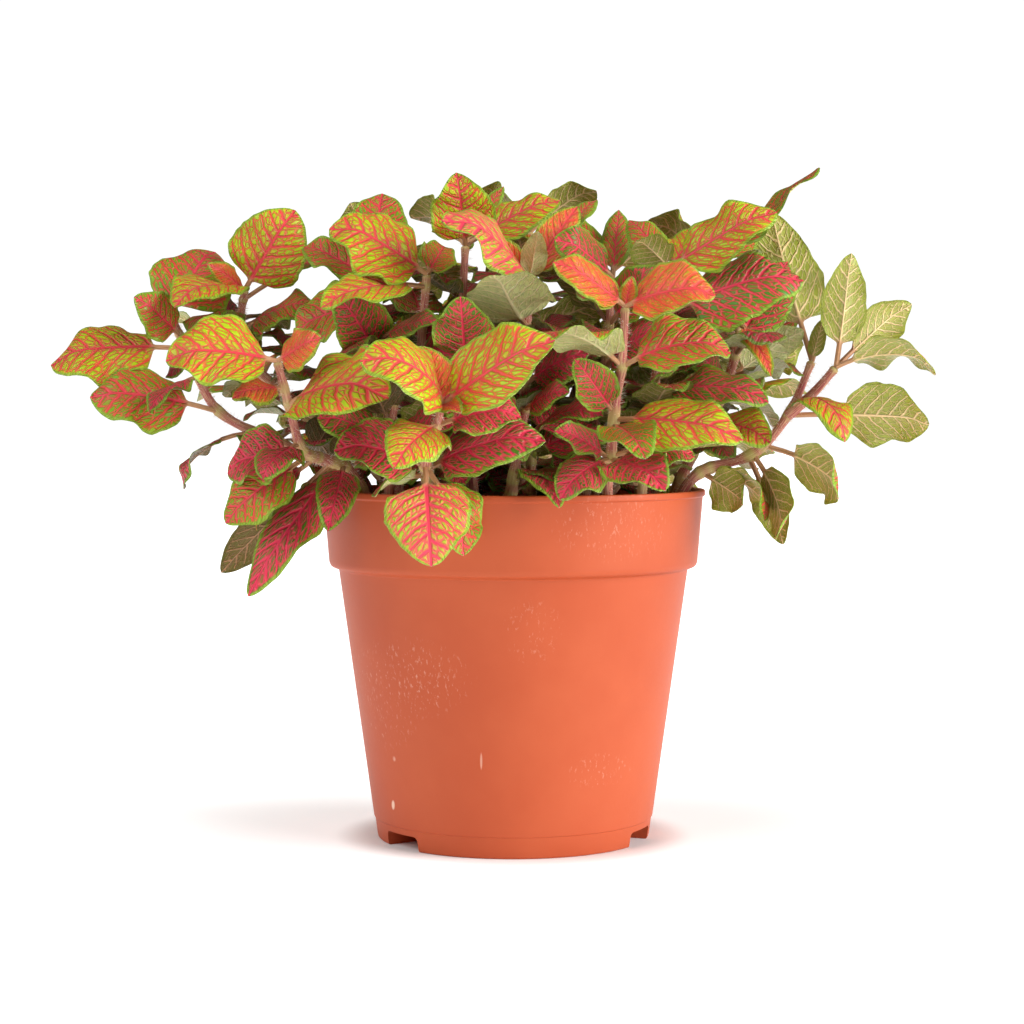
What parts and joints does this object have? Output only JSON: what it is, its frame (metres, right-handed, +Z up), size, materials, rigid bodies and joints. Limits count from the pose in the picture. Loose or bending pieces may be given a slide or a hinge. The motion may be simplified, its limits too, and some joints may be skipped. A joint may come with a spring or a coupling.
{
  "type": "potted plant",
  "caption": "Bushy nerve plant with coral-veined, wavy-edged leaves on creeping stems, growing out of a thin tapered plastic grower's pot with a deep collar under its lip.",
  "frame": {"origin": "middle of the flat underside of the pot's floor, on the ground the pot stands on", "axes": "+Z up, along the pot's axis; -Y towards the front, the side the picture shows; +X to the right seen from the front"},
  "size_m": [0.2706, 0.2099, 0.2112],
  "materials": {
    "pot_plastic": "satin terracotta-coloured injection-moulded plastic with fine scuffs and specks",
    "compost": "damp dark peat compost, crumbly, with paler fibres and grains",
    "foliage": "soft leaves, lime to dark green between coral-pink veins, on pink-brown downy stems"
  },
  "bodies": {
    "root": {"pot": "pot_plastic", "soil": "compost", "stem_left_reach": "foliage", "stem_left_upper": "foliage", "stem_left_front": "foliage", "stem_front_centre": "foliage", "stem_front_low": "foliage", "stem_right_centre": "foliage", "stem_right_upper": "foliage", "stem_right_middle": "foliage", "stem_right_reach": "foliage", "stem_centre_top": "foliage", "stem_centre_left_top": "foliage", "stem_left_top": "foliage", "stem_left_middle": "foliage", "stem_left_low": "foliage", "stem_centre_low": "foliage", "stem_right_back_top": "foliage", "stem_far_spear": "foliage", "stem_back_1": "foliage", "stem_back_2": "foliage", "stem_back_3": "foliage", "stem_back_4": "foliage", "stem_back_5": "foliage", "stem_crown_1": "foliage", "stem_crown_2": "foliage", "stem_crown_3": "foliage", "stem_heart_1": "foliage", "stem_under_1": "foliage", "stem_under_2": "foliage", "stem_under_3": "foliage"}
  },
  "joints": []
}
